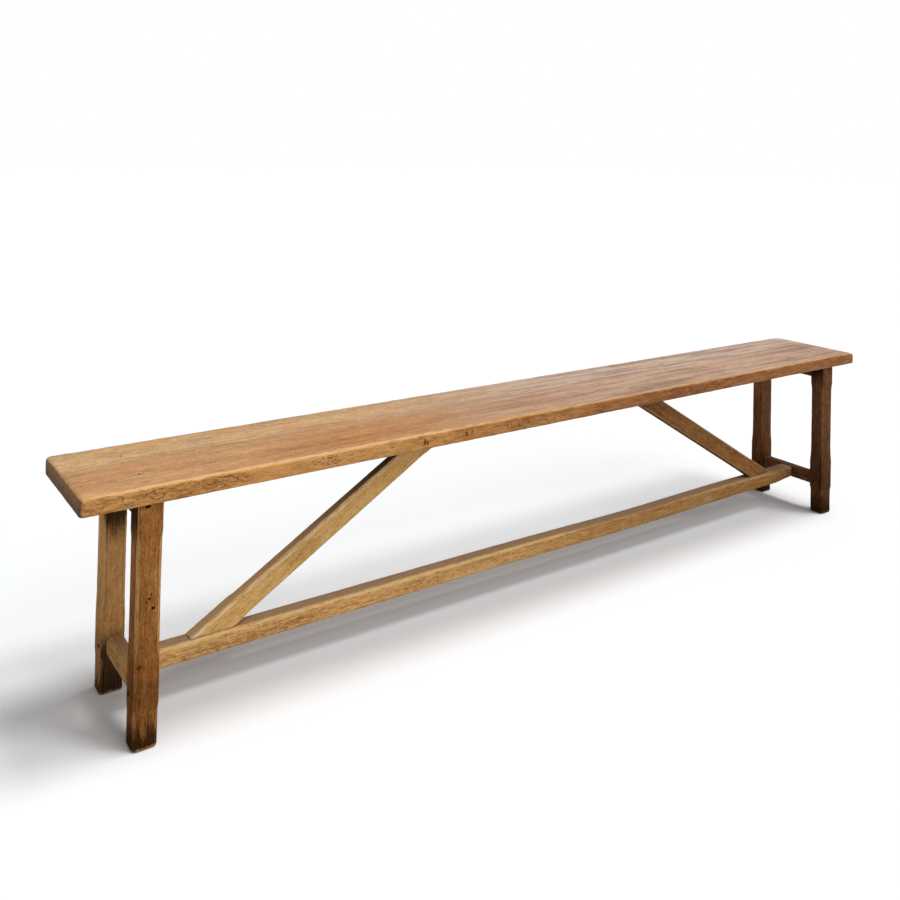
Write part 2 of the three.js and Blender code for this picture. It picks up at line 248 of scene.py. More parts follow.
def oak(
    name, node, turn, pith, tones, extra, pale=ink(232, 188, 126), spots=(), flecks=(), wear=0.6, warm=0.35,
    rough=0.68, gleam=0.015, checks=0.3, contrast=0.85, flow=1.0, chamfer=0.4, seams=0.3,
):
    """Old waxed oak, whose last touches come from extra.

    turn and pith lead from a place on the bench to its place in the grain, in millimetres.
    tones are its dark, middle and light colours, and pale is the colour of its worn arrises and paler
    chamfers, partly a painted highlight.
    spots and flecks are dark and pale marks, each with its centre, half sizes and strength.
    wear, warm, checks, chamfer and seams are shares of worn arrises, orange patches, drying checks,
    paler chamfers and dirt beside them, the worn arrises and paler chamfers partly a painted highlight;
    contrast and flow set the grain's contrast and its stripes.
    """
    finish = new_finish(name)
    at = finish.place()
    grain = finish.place(turn, pith)
    x, y, z = finish.parts(at)
    along, across, deep = finish.parts(grain)
    facing = finish.node("ShaderNodeNewGeometry", {}, {}, "Normal")
    inputs = {"Vector": facing, "Rotation": turn}
    turned = finish.node("ShaderNodeMapping", {"vector_type": "VECTOR"}, inputs)
    endways, sideways, upright = finish.parts(turned)
    slant = abs(sideways * upright) * 2

    # Growth rings round a wandering pith, each with a darker line of early pores
    sway = finish.noise(grain, (420, 150, 150), detail=2) - 0.5
    lean = finish.noise(grain, (380, 170, 170), (7, 3, 5), detail=2) - 0.5
    ring_across = across + sway * 34
    ring_deep = deep + lean * 34
    radius = (ring_across * ring_across + ring_deep * ring_deep) ** 0.5
    rings = finish.node("ShaderNodeCombineXYZ", {}, {0: along / 600, 1: radius / RING, 2: radius / 300})
    growth = finish.noise(rings, (1, 1, 1), detail=3, roughness=0.6)
    phase = (radius / RING + growth * 1.9).fraction()
    early = phase.between(0.5, 0.08) * phase.between(0, 0.08)

    # Fibres, stripes and broad bands along the timber, pores as short dashes, and a mottled patina
    fibre = finish.noise(grain, (20, 1.2, 1.2), detail=4, roughness=0.7)
    stripe = finish.noise(grain, (58, 3.4, 3.4), (3, 1, 9), detail=4, roughness=0.66)
    broad = finish.noise(grain, (430, 30, 30), (1, 8, 2), detail=2)
    pore = finish.noise(grain, (9, 0.6, 0.6), (5, 2, 4), detail=1).between(0.57, 0.72)
    patina = finish.noise(grain, (24, 9, 9), (2, 6, 1), detail=4, roughness=0.7)
    speckle = finish.noise(grain, (6, 3, 3), (7, 3, 3), detail=3, roughness=0.7)
    patch = finish.noise(at, (150, 80, 80), (8, 2, 6), detail=4, roughness=0.6)
    tone = (
        0.5
        + (growth - 0.5) * (0.3 * contrast)
        + (stripe - 0.5) * (0.8 * contrast * flow)
        + (broad - 0.5) * (0.6 * contrast)
        + (fibre - 0.5) * (0.8 * contrast * flow)
        + (patina - 0.5) * (0.8 * contrast)
        + (speckle - 0.5) * (1.0 * contrast)
        - early * (0.09 * contrast)
        - pore * (0.08 + early * 0.14)
    )
    dark, middle, light = tones
    colour = finish.ramp(tone, [(0.14, dark), (0.5, middle), (0.86, light)])
    orange = finish.tinted(colour, ink(255, 222, 182))
    colour = finish.mix(patch.between(0.44, 0.62) * warm, colour, orange)
    dull = finish.tinted(colour, ink(236, 230, 218))
    colour = finish.mix(patch.between(0.48, 0.32) * 0.6, colour, dull)
    rough_end = finish.tinted(colour, ink(196, 186, 176))
    end_grain = abs(endways).between(0.6, 0.88)
    colour = finish.mix(end_grain, colour, rough_end)

    # Long drying checks, wandering along the grain
    shake = finish.noise(grain, (330, 9, 9), (4, 4, 8), detail=2)
    where = finish.noise(grain, (120, 30, 30), (9, 1, 3), detail=1).between(0.54, 0.6)
    check = abs(shake - 0.5).between(0.012, 0.003) * where * checks

    # Chamfers are a little paler, partly worn wood and partly a painted highlight, with dirt left along
    # their inner borders in places
    scuff = finish.noise(grain, (24, 5, 5), (6, 6, 2), detail=4, roughness=0.68)
    colour = finish.mix(slant.between(0.5, 0.9) * scuff.between(0.25, 0.6) * chamfer, colour, pale)
    dirty = finish.noise(grain, (90, 12, 12), (2, 2, 5), detail=3).between(0.44, 0.54)
    seam = abs(slant - 0.4).between(0.36, 0.12) * dirty
    colour = finish.mix(seam * seams, colour, ink(52, 32, 17))

    # Worn arrises: a pale broken line, polished by use and partly a painted highlight
    edge = finish.node("ShaderNodeAttribute", {"attribute_name": "edge"}, {}, "Fac")
    rub_and_highlight = (edge + (scuff - 0.5) * 1.7).between(0.45, 1.0) * (1 - seam)
    colour = finish.mix(rub_and_highlight * wear, colour, pale)

    # Pale knocks, then knots, worm holes and nail holes
    def marks(places):
        ragged = finish.noise(at, (4, 4, 4), detail=2) - 0.5
        mark = None
        for centre, sizes, depth in places:
            one = (finish.far_from(at, centre, sizes) + ragged).between(1, 0.5) * depth
            mark = one if mark is None else mark.most(one)
        return mark

    if flecks:
        colour = finish.mix(marks(flecks), colour, pale)
    darkness = check * 0.8
    if spots:
        darkness = darkness.most(marks(spots))
    colour = finish.mix(darkness, colour, CRACK)

    # Relief and roughness, then the touches of this timber alone
    height = (
        fibre * 0.55 + growth * 0.3 + stripe * 0.5 + patina * 0.6 + speckle * 0.4
        - early * 0.25 - pore * 0.6 - darkness * 2.2 - seam * 0.6 + scuff * 0.35
    )
    gloss = (
        rough + (fibre - 0.5) * 0.16 + (patina - 0.5) * 0.14 - rub_and_highlight * 0.06 + darkness * 0.3 + end_grain * 0.15
    )
    p = SimpleNamespace(
        finish=finish, x=x, y=y, z=z, at=at, grain=grain, across=across, deep=deep,
        colour=colour, gloss=gloss, height=height, pale=pale,
        sideways=sideways, upright=upright, end_grain=end_grain,
        patch=patch, patina=patina, scuff=scuff, stripe=stripe, fibre=fibre, broad=broad,
        node=node, turn=turn, pith=pith,
    )
    extra(p)
    return finish.shade({
        "Base Color": p.colour,
        "Roughness": p.gloss,
        "Normal": finish.bump(p.height, 0.0007, 0.5),
        "Specular IOR Level": gleam,
    })


# Groups of pits in the seat's front edge: place along the seat and reach, in millimetres
PITTED = ((-1010, 52), (-873, 60), (-660, 55), (-180, 60), (70, 50))


def seat_wear(p):
    """Two tones along the seat, its worn front arris with a painted highlight, a grey that is partly a
    painted sheen to the right, pitted edges, dark ends, a painted shade beneath and smudges.
    """
    f, x, y, z = p.finish, p.x, p.y, p.z
    upper = p.upright.between(0.7, 0.95)
    side = abs(p.sideways).between(0.55, 0.9)
    rightward = (x + (p.patch - 0.5) * 420).between(-630, 280)

    # Golden at the left, browner before the middle, pinkish grey toward the right that is partly a painted
    # sheen, dull at the far right
    brown = f.tinted(p.colour, ink(240, 214, 174))
    brown_patch = f.far_from(p.at, (-520, -70, SEAT_TOP), (340, 95, 90)).between(1, 0.2)
    colour = f.mix(brown_patch * upper * 0.8, p.colour, brown)
    colour = f.mix(rightward * upper * 0.78, colour, ink(194, 169, 151))
    far_right = (x + (p.patch - 0.5) * 300).between(860, 1120)
    colour = f.mix(far_right * upper * 0.35, colour, ink(160, 126, 98))

    # Darker and paler streaks along the top
    streak = f.noise(p.grain, (170, 12, 12), (2, 7, 3), detail=5, roughness=0.72)
    darker = f.tinted(colour, f.mix(rightward, ink(208, 192, 178), ink(182, 162, 150)))
    colour = f.mix(streak.between(0.5, 0.34) * upper * (0.2 + rightward * 0.7), colour, darker)
    colour = f.mix(p.broad.between(0.52, 0.4) * upper * rightward * 0.5, colour, darker)
    colour = f.mix(p.stripe.between(0.5, 0.36) * upper * rightward * 0.45, colour, darker)
    paler = f.mix(rightward, ink(232, 192, 142), ink(222, 196, 176))
    colour = f.mix(streak.between(0.5, 0.66) * upper * (0.1 + rightward * 0.4), colour, paler)
    colour = f.mix(p.patina.between(0.54, 0.7) * upper * (0.12 + rightward * 0.2), colour, paler)

    # The front half is pinker than the rear, with a thin dark border that wanders
    border = y - 14 + (f.noise(p.grain, (520, 300, 300), (1, 1, 1), detail=2) - 0.5) * 60
    front = (border + (p.stripe - 0.5) * 26).between(14, -12)
    colour = f.mix(front * upper * 0.8, colour, f.tinted(colour, ink(244, 228, 214)))
    line = abs(border + (p.fibre - 0.5) * 6).between(2.6, 0.4) * upper * p.patch.between(0.38, 0.5)
    colour = f.mix(line * 0.5, colour, ink(122, 80, 48))

    # Smudges and small pale knocks where it was sat on and knocked
    smudge = f.noise(p.at, (46, 30, 30), (4, 9, 4), detail=4, roughness=0.6).between(0.56, 0.74)
    colour = f.mix(smudge * upper * (0.1 + rightward * 0.3), colour, ink(118, 92, 76))
    knock = f.noise(p.at, (9, 5, 5), (7, 1, 4), detail=2).between(0.7, 0.78)
    colour = f.mix(knock * upper * 0.4, colour, ink(232, 192, 144))

    # A yellower band along the front arris, where the wax is worn through
    ragged = f.noise(p.at, (36, 9, 9), (8, 2, 5), detail=4, roughness=0.64) - 0.5
    band = (y - ragged * 50).between(SEAT_FRONT + 24, SEAT_FRONT + 2) * upper
    colour = f.mix(band * (0.42 - rightward * 0.3), colour, ink(222, 168, 108))

    # Long edges are deeper in colour, more so to the right, with dirt and a paler stretch
    edge_tint = f.mix(rightward, ink(255, 236, 194), ink(202, 170, 142))
    colour = f.mix(side, colour, f.tinted(colour, edge_tint))
    dirt = f.noise(p.grain, (34, 10, 6), (5, 3, 1), detail=5, roughness=0.72)
    colour = f.mix(dirt.between(0.48, 0.66) * side * 0.42, colour, ink(118, 72, 38))
    orange = f.mix(rightward, ink(240, 176, 110), ink(186, 132, 84))
    colour = f.mix(dirt.between(0.54, 0.34) * side * 0.55, colour, orange)
    pale_edge = abs(x + 660).between(260, 110) * side
    colour = f.mix(pale_edge * 0.4, colour, ink(226, 168, 106))

    # Pits in the long edges, some of them in groups
    hollow = f.noise(p.at, (10, 7, 3.2), (6, 1, 8), detail=3, roughness=0.6)
    herd = f.noise(p.at, (60, 60, 30), (3, 3, 7), detail=2).between(0.45, 0.66) * 0.6
    for place, reach in PITTED:
        group = f.far_from(p.at, (place, SEAT_FRONT, SEAT_TOP - 17), (reach, 30, 18))
        herd = herd.most(group.between(1, 0.4))
    pit = (hollow + herd * 0.09).between(0.6, 0.72) * side
    colour = f.mix(pit * 0.66, colour, ink(78, 46, 24))

    # Bright line along the top arris, broken along its length: paler worn wood and a painted highlight
    steady = f.noise(p.at, (240, 300, 300), (2, 2, 2), detail=3)
    most_worn = abs(x + 700).between(520, 160)
    arris = (abs(y) + z) * 0.7071 + ragged * 9 + most_worn * 0.6
    limit = (SEAT_HALF_WIDTH + SEAT_TOP) * 0.7071
    broken = (p.scuff * 0.9 + steady * 0.7 + most_worn * 0.1).between(0.68, 0.96)
    upper_arc = (p.upright + (p.scuff - 0.5) * 0.5 + most_worn * 0.06).between(0.58, 0.78)
    worn_highlight = arris.between(limit - 6.2, limit - 4.9) * broken * upper_arc
    rubbed_and_highlight = f.mix(rightward, ink(226, 182, 126), ink(210, 166, 114))
    colour = f.mix(worn_highlight * (0.9 - rightward * 0.5), colour, rubbed_and_highlight)

    # Dark end grain, paler towards its top arris, and a dull underside darkened as a painted shade
    low_end = (z + (p.patina - 0.5) * 46).between(SEAT_TOP - 1, SEAT_TOP - 26)
    end_tone = f.mix(low_end, ink(146, 106, 68), ink(78, 52, 32))
    colour = f.mix(p.end_grain * 0.75, colour, end_tone)
    shaded_underside = p.upright.between(-0.5, -0.9)
    colour = f.mix(shaded_underside * 0.55, colour, ink(104, 72, 44))

    p.colour = colour
    p.height = p.height - pit * 2.5 - line * 0.8
    p.gloss = p.gloss + pit * 0.3 + shaded_underside * 0.2 - upper * 0.08 + smudge * 0.1


def leg_wear(front_clean=0, front_shade=0, black_foot=0, shade=(370, 432), dimmed=0.6, rim=0.7):
    """Wear of a leg and painted shade: dark streaks and a pale rim at the foot, painted shade under the seat
    and darkening at the low rail.

    The painted shade begins and is full at the two heights of shade, and reaches front_shade lower on the
    front, which front_clean keeps clear. black_foot, dimmed and rim are shares of soot, dimming and the pale
    rim.
    """
    def wear(p):
        f, z = p.finish, p.z
        outward = (-p.sideways).between(0.4, 0.9)
        streak = f.noise(p.grain, (42, 5, 5), (1, 5, 5), detail=4, roughness=0.7)
        foot = (z + (streak - 0.5) * 170).between(62, 10)
        colour = f.mix(foot * 0.85, p.colour, ink(40, 24, 12))
        dim = z.between(300, 110)
        colour = f.mix(dim * dimmed, colour, f.tinted(colour, ink(206, 192, 174)))
        if black_foot:
            soot = (z + (p.scuff - 0.5) * 40).between(118, 84) * outward
            sooty = f.mix(streak, ink(34, 24, 15), ink(92, 68, 44))
            colour = f.mix(soot * black_foot, colour, sooty)
        scrape = f.noise(p.at, (11, 11, 4), (5, 5, 5), detail=3)
        base = (z + (scrape - 0.5) * 14).between(7, 3) * scrape.between(0.3, 0.42)
        colour = f.mix(base * rim, colour, KNOCKED)
        # Painted shade under the seat, reaching lower on the front face, which front_clean keeps clear
        height = z + outward * front_shade
        seat_shade = (height + (p.scuff - 0.5) * 40 + (p.stripe - 0.5) * 50).between(*shade)
        colour = f.mix(seat_shade * (1 - outward * front_clean) * 0.92, colour, GRIME_AND_SHADE)
        # Darker near the low rail
        near_rail = abs(z + (p.scuff - 0.5) * 30 - LOW_RAIL_HEIGHT).between(34, 18)
        colour = f.mix(near_rail * 0.25, colour, GRIME_AND_SHADE)
        split = f.noise(p.grain, (80, 3, 3), (8, 8, 1), detail=2)
        crack = abs(split - 0.5).between(0.03, 0.008) * z.between(88, 30)
        colour = f.mix(crack * 0.7, colour, GRIME_AND_SHADE)
        p.colour = colour
        p.height = p.height - crack * 2
        p.gloss = p.gloss + foot * 0.15 + base * 0.2 + seat_shade * 0.15
    return wear


def frame_wear(top_tone, top_share=0.6, right_tint=ink(255, 255, 255), worn_highlight=0, seat_shade_share=0):
    """Wear and painted light of a rail, brace or stretcher: a dusty upper face, paler on the left brace as a
    painted sheen, a painted shade on the underside and a tint to the right.

    worn_highlight is the share of a pale line along the front upper arris, partly a painted highlight,
    and seat_shade_share that of painted shade high up under the seat.
    """
    def wear(p):
        f = p.finish
        rightward = (p.x + (p.patch - 0.5) * 300).between(-700, 900)
        colour = f.mix(rightward, p.colour, f.tinted(p.colour, right_tint))
        upward = p.upright.between(0.72, 0.96)
        colour = f.mix(upward * top_share, colour, top_tone)
        # Painted shade of the seat, high up on the upper face
        if seat_shade_share:
            colour = f.mix(upward * p.z.between(190, 400) * seat_shade_share, colour, GRIME_AND_SHADE)
        # Painted shade: a darker underside
        shaded_underside = p.upright.between(-0.5, -0.92)
        colour = f.mix(shaded_underside * 0.6, colour, ink(70, 44, 24))
        # A pale line along the front upper arris: paler worn wood and a painted highlight
        if worn_highlight:
            front = largest_face(p.node, p.turn, p.pith, 1, -1)
            top = largest_face(p.node, p.turn, p.pith, 2, 1)
            ragged = f.noise(p.grain, (40, 7, 7), (8, 2, 5), detail=4, roughness=0.66)
            gap = (p.across - front + top - p.deep) * 0.7071 - (ragged - 0.5) * 8
            line = gap.between(5.3, 4.0) * p.scuff.between(0.32, 0.56) * (1 - rightward * 0.7)
            colour = f.mix(line * worn_highlight, colour, p.pale)
        p.colour = colour
        p.gloss = p.gloss + upward * 0.06
    return wear


# Marks of the seat, in millimetres: place along the seat, then up or across, half sizes and strength
KNOTS_IN_EDGE = (
    (-437, 452, 5, 11, 0.9), (-430, 449, 3, 8, 0.9), (-519, 455, 5, 5, 0.6), (-328, 453, 4, 7, 0.75),
    (-314, 457, 3, 5, 0.7), (-214, 451, 4, 7, 0.7), (-182, 450, 4, 5, 0.7), (-1066, 454, 3, 8, 0.55),
    (-1011, 460, 3, 6, 0.6), (-878, 461, 10, 3, 0.65),
)
DARK_ON_TOP = (
    (-848, -19, 9, 2, 0.5), (125, 19, 9, 3, 0.6), (-1018, -107, 10, 6, 0.3), (-284, 23, 130, 1.6, 0.5),
)
PALE_ON_TOP = (
    (-1120, -118, 20, 12, 0.4), (-1084, -128, 26, 5, 0.5), (-850, -96, 16, 4, 0.45), (-873, -110, 9, 4, 0.5),
    (-762, -101, 6, 6, 0.5), (-408, -40, 26, 7, 0.4), (-370, -27, 16, 5, 0.4), (38, 25, 40, 2.4, 0.4),
    (-1026, 110, 10, 20, 0.4), (-568, -11, 24, 2.4, 0.35),
)
# Worm holes, a knot and a notch in the front left leg: place along and up, half sizes and strength
HOLES_IN_LEG = (
    (-1014, 268, 3, 3.4, 0.9), (-1011, 275, 2.4, 2.6, 0.9), (-1007, 250, 4.6, 4, 1),
    (-1030, 150, 6, 5, 0.75), (-1019, 433, 7, 5, 1),
)


def on_front(marks, face, reach):
    """Marks of a front face, each reaching into the wood."""
    return [((x, face, z), (wide, reach, tall), strength) for x, z, wide, tall, strength in marks]


def on_top(marks, reach=9):
    """Marks of the seat's top, each reaching into the wood."""
    return [((x, y, SEAT_TOP), (long, wide, reach), strength) for x, y, long, wide, strength in marks]


# Dark, middle and light tones of each timber
honey = (ink(150, 108, 68), ink(200, 158, 111), ink(226, 188, 140))
golden = (ink(160, 112, 64), ink(221, 171, 108), ink(242, 202, 142))
straw = (ink(176, 128, 68), ink(226, 180, 112), ink(246, 210, 150))
chestnut = (ink(100, 62, 30), ink(161, 108, 58), ink(206, 156, 98))
biscuit = (ink(144, 101, 58), ink(212, 160, 101), ink(234, 192, 135))
fawn = (ink(132, 92, 54), ink(196, 146, 92), ink(224, 180, 126))
nutmeg = (ink(92, 60, 34), ink(148, 104, 62), ink(182, 136, 88))
umber = (ink(65, 40, 24), ink(108, 73, 48), ink(150, 108, 74))
walnut = (ink(82, 52, 32), ink(132, 89, 58), ink(168, 121, 84))

finishes = {}


def dress(node, name, *lay_and_tones, **settings):
    finishes[node] = oak(name, node, *lay_and_tones, **settings)


dress(
    "seat_plank", "seat_oak", ALONG_X, (0, 260, -140), honey, seat_wear, wear=0.35, rough=0.57, gleam=0.12,
    warm=0.3, checks=0.25, contrast=0.85, flecks=on_top(PALE_ON_TOP),
    spots=on_front(KNOTS_IN_EDGE, SEAT_FRONT, 9) + on_top(DARK_ON_TOP),
)
dress(
    "leg_front_left", "leg_oak_front_left", ALONG_Z, (40, 190, 990), chestnut,
    leg_wear(front_clean=0.9, shade=(350, 410), dimmed=0.85), wear=0.7, checks=0.4, flow=0.6, chamfer=0.5,
    spots=on_front(HOLES_IN_LEG, LEG_FRONT, 6),
)
dress(
    "leg_rear_left", "leg_oak_rear_left", ALONG_Z, (700, -60, 940), biscuit,
    leg_wear(front_shade=88, black_foot=0.85, dimmed=0.35), warm=0.25, flow=0.6,
)
dress(
    "leg_front_right", "leg_oak_front_right", ALONG_Z, (1500, 120, -1080), umber,
    leg_wear(front_clean=1.0, rim=0.3), wear=0.5, pale=ink(176, 130, 88), flow=0.7,
)
dress(
    "leg_rear_right", "leg_oak_rear_right", ALONG_Z, (2100, -150, -930), walnut,
    leg_wear(rim=0.3), wear=0.5, pale=ink(184, 138, 94), flow=0.7,
)
dress(
    "long_stretcher", "stretcher_oak", ALONG_X, (0, 90, -160), golden,
    frame_wear(ink(180, 152, 126), 0.65, right_tint=ink(190, 182, 174), worn_highlight=0.85), wear=0.5, warm=0.2,
    pale=ink(240, 200, 140), contrast=1.0,
)
# The left brace's upper face is made paler, partly as a painted sheen, and darkened high up as painted shade
# under the seat
dress(
    "brace_left", "brace_oak_left", slope_of("brace_left"), (300, 130, -200), straw,
    frame_wear(ink(232, 190, 140), 0.7, worn_highlight=0.95, seat_shade_share=0.9), wear=0.4, warm=0.12,
    pale=ink(252, 218, 170), checks=0.15, contrast=0.8, chamfer=0.15, seams=0.15,
)
dress(
    "brace_right", "brace_oak_right", slope_of("brace_right"), (900, -160, -300), nutmeg,
    frame_wear(ink(96, 64, 40), 0.75), wear=0.35,
)
dress(
    "low_rail_left", "low_rail_oak_left", ALONG_Y, (500, -1130, -130), fawn, frame_wear(ink(178, 140, 106)),
    wear=0.5, warm=0.15,
)
dress(
    "low_rail_right", "low_rail_oak_right", ALONG_Y, (900, 1130, -130), umber, frame_wear(ink(128, 92, 64)),
    wear=0.5, pale=ink(182, 138, 96),
)
dress(
    "top_rail_left", "top_rail_oak_left", ALONG_Y, (1300, -900, -480), walnut, frame_wear(GRIME_AND_SHADE, 0.4),
    wear=0.3,
)
dress(
    "top_rail_right", "top_rail_oak_right", ALONG_Y, (1700, 900, -480), umber, frame_wear(GRIME_AND_SHADE, 0.4),
    wear=0.3,
)


def peg_finish():
    """Dark end grain of the pegs, mottled at a fine and a coarse size."""
    finish = new_finish("peg_oak")
    at = finish.place()
    fine = finish.noise(at, (1.2, 1.2, 1.2), detail=3)
    coarse = finish.noise(at, (5, 3, 3), (4, 1, 1), detail=2)
    colour = finish.ramp(
        fine * 0.6 + coarse * 0.4, [(0.3, ink(16, 10, 7)), (0.55, ink(38, 25, 16)), (0.75, ink(78, 54, 34))]
    )
    return finish.shade({
        "Base Color": colour,
        "Roughness": 0.55 + fine * 0.2,
        "Normal": finish.bump(fine + coarse, 0.0005, 0.5),
        "Specular IOR Level": 0.03,
    })


def iron_finish():
    """Black forged iron with brown rust in its hollows."""
    finish = new_finish("nail_iron")
    scale = finish.noise(finish.place(), (1.6, 1.6, 1.6), detail=4, roughness=0.6)
    rust = scale.between(0.5, 0.62)
    return finish.shade({
        "Base Color": finish.mix(rust, ink(38, 34, 32), ink(86, 52, 32)),
        "Roughness": 0.45 + rust * 0.35,
        "Metallic": 0.85 - rust * 0.6,
        "Normal": finish.bump(scale, 0.0004, 0.6),
    })


peg_oak = peg_finish()
nail_iron = iron_finish()


def focus(piece):
    """Selects one object alone and makes it active."""
    bpy.ops.object.select_all(action="DESELECT")
    piece.select_set(True)
    bpy.context.view_layer.objects.active = piece


def modify(piece, kind, **settings):
    """Adds a modifier and applies it."""
    focus(piece)
    modifier = piece.modifiers.new(kind.lower(), kind)
    for key, value in settings.items():
        setattr(modifier, key, value)
    bpy.ops.object.modifier_apply(modifier=modifier.name)


def soften_angles(piece, width, angle):
    """Small bevels on the edges that are sharper than the angle, in degrees."""
    limit = math.radians(angle)
    modify(piece, "BEVEL", width=width, segments=2, limit_method="ANGLE", angle_limit=limit)


def displace(piece, texture, neutral, strength, group=""):
    """Moves the surface in where the texture is below neutral, out where it is above."""
    modify(
        piece, "DISPLACE", texture=texture, texture_coords="LOCAL", mid_level=neutral, strength=strength,
        vertex_group=group,
    )


def clouds(name, size, depth):
    """Cloudy texture for relief, its size in metres."""
    texture = bpy.data.textures.new(name, "CLOUDS")
    texture.noise_scale = size
    texture.noise_depth = depth
    return texture


hand_waves = clouds("hand_waves", 0.075, 1)
tool_marks = clouds("tool_marks", 0.022, 2)
chips = clouds("chips", 0.011, 2)


def mesh_arrays(mesh):
    """Places and normals of the vertices, and the two ends of each edge."""
    count = len(mesh.vertices)
    places = np.empty(count * 3, np.float32)
    normals = np.empty(count * 3, np.float32)
    ends = np.empty(len(mesh.edges) * 2, np.int64)
    mesh.vertices.foreach_get("co", places)
    mesh.vertex_normals.foreach_get("vector", normals)
    mesh.edges.foreach_get("vertices", ends)
    return places.reshape(-1, 3), normals.reshape(-1, 3), ends.reshape(-1, 2)


def neighbour_mean(values, ends):
    """Mean of each vertex's neighbours."""
    count = len(values)
    start, end = ends[:, 0], ends[:, 1]
    degree = np.bincount(start, minlength=count) + np.bincount(end, minlength=count)
    columns = values.reshape(count, -1)
    total = np.stack([
        np.bincount(start, column[end], count) + np.bincount(end, column[start], count)
        for column in columns.T
    ], axis=1)
    return (total / np.maximum(degree, 1)[:, None]).reshape(values.shape)


def arris_share(mesh, cell, rounds):
    """How much each vertex stands out as an arris, from 0 on flats and in hollows to 1 on a sharp arris."""
    places, normals, ends = mesh_arrays(mesh)
    spread = places
    for _ in range(rounds):
        spread = neighbour_mean(spread, ends)
    height = ((places - spread) * normals).sum(1) / cell
    for _ in range(2):
        height = 0.5 * height + 0.5 * neighbour_mean(height, ends)
    return np.clip(height / 0.55, 0, 1)


def keep_edge(mesh, share):
    """Attribute that the finish reads to find the arrises."""
    attribute = mesh.attributes.get("edge") or mesh.attributes.new("edge", "FLOAT", "POINT")
    attribute.data.foreach_set("value", share.astype(np.float32))


def weigh(piece, share, steps=8):
    """Vertex group with the share as its weight."""
    group = piece.vertex_groups.new(name="arris")
    level = np.round(share * steps).astype(int)
    for step in range(1, steps + 1):
        members = np.nonzero(level == step)[0].tolist()
        if members:
            group.add(members, step / steps, "REPLACE")


def wear_down(piece, share, flat, arris, chip):
    """Wears a finely divided piece, gently all over and more where the share of arris is high.

    flat, arris and chip each give the neutral level and the strength of one relief.
    """
    weigh(piece, share)
    displace(piece, hand_waves, *flat)
    displace(piece, tool_marks, *arris, "arris")
    displace(piece, chips, *chip, "arris")
    piece.vertex_groups.clear()


def finish_piece(piece, slot, material, *replaced):
    """Gives a piece its finish and its place in the frame, and hides the CAD nodes that it stands for."""
    piece.data.materials.clear()
    piece.data.materials.append(material)
    focus(piece)
    bpy.ops.object.shade_smooth()
    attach(piece, "root")
    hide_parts(*replaced)


def timber(node, slot, cell):
    """Hand-worn copy of one CAD timber, finely divided, with softened and chipped arrises."""
    piece = bpy.data.objects.new("worn_" + node, nodes[node].data.copy())
    bpy.context.scene.collection.objects.link(piece)
    focus(piece)
    bpy.ops.object.mode_set(mode="EDIT")
    bpy.ops.mesh.select_all(action="SELECT")
    bpy.ops.mesh.remove_doubles(threshold=0.00001)
    bpy.ops.object.mode_set(mode="OBJECT")
    modify(piece, "REMESH", mode="VOXEL", voxel_size=cell, adaptivity=0)
    modify(piece, "SMOOTH", factor=0.5, iterations=1)
    share = arris_share(piece.data, cell, 3)
    wear_down(piece, share, flat=(0.6, 0.0005), arris=(0.7, 0.0007), chip=(0.6, 0.0014))
    modify(piece, "SMOOTH", factor=0.3, iterations=1)
    keep_edge(piece.data, arris_share(piece.data, cell, 3))
    finish_piece(piece, slot, finishes[node], node)
    return piece


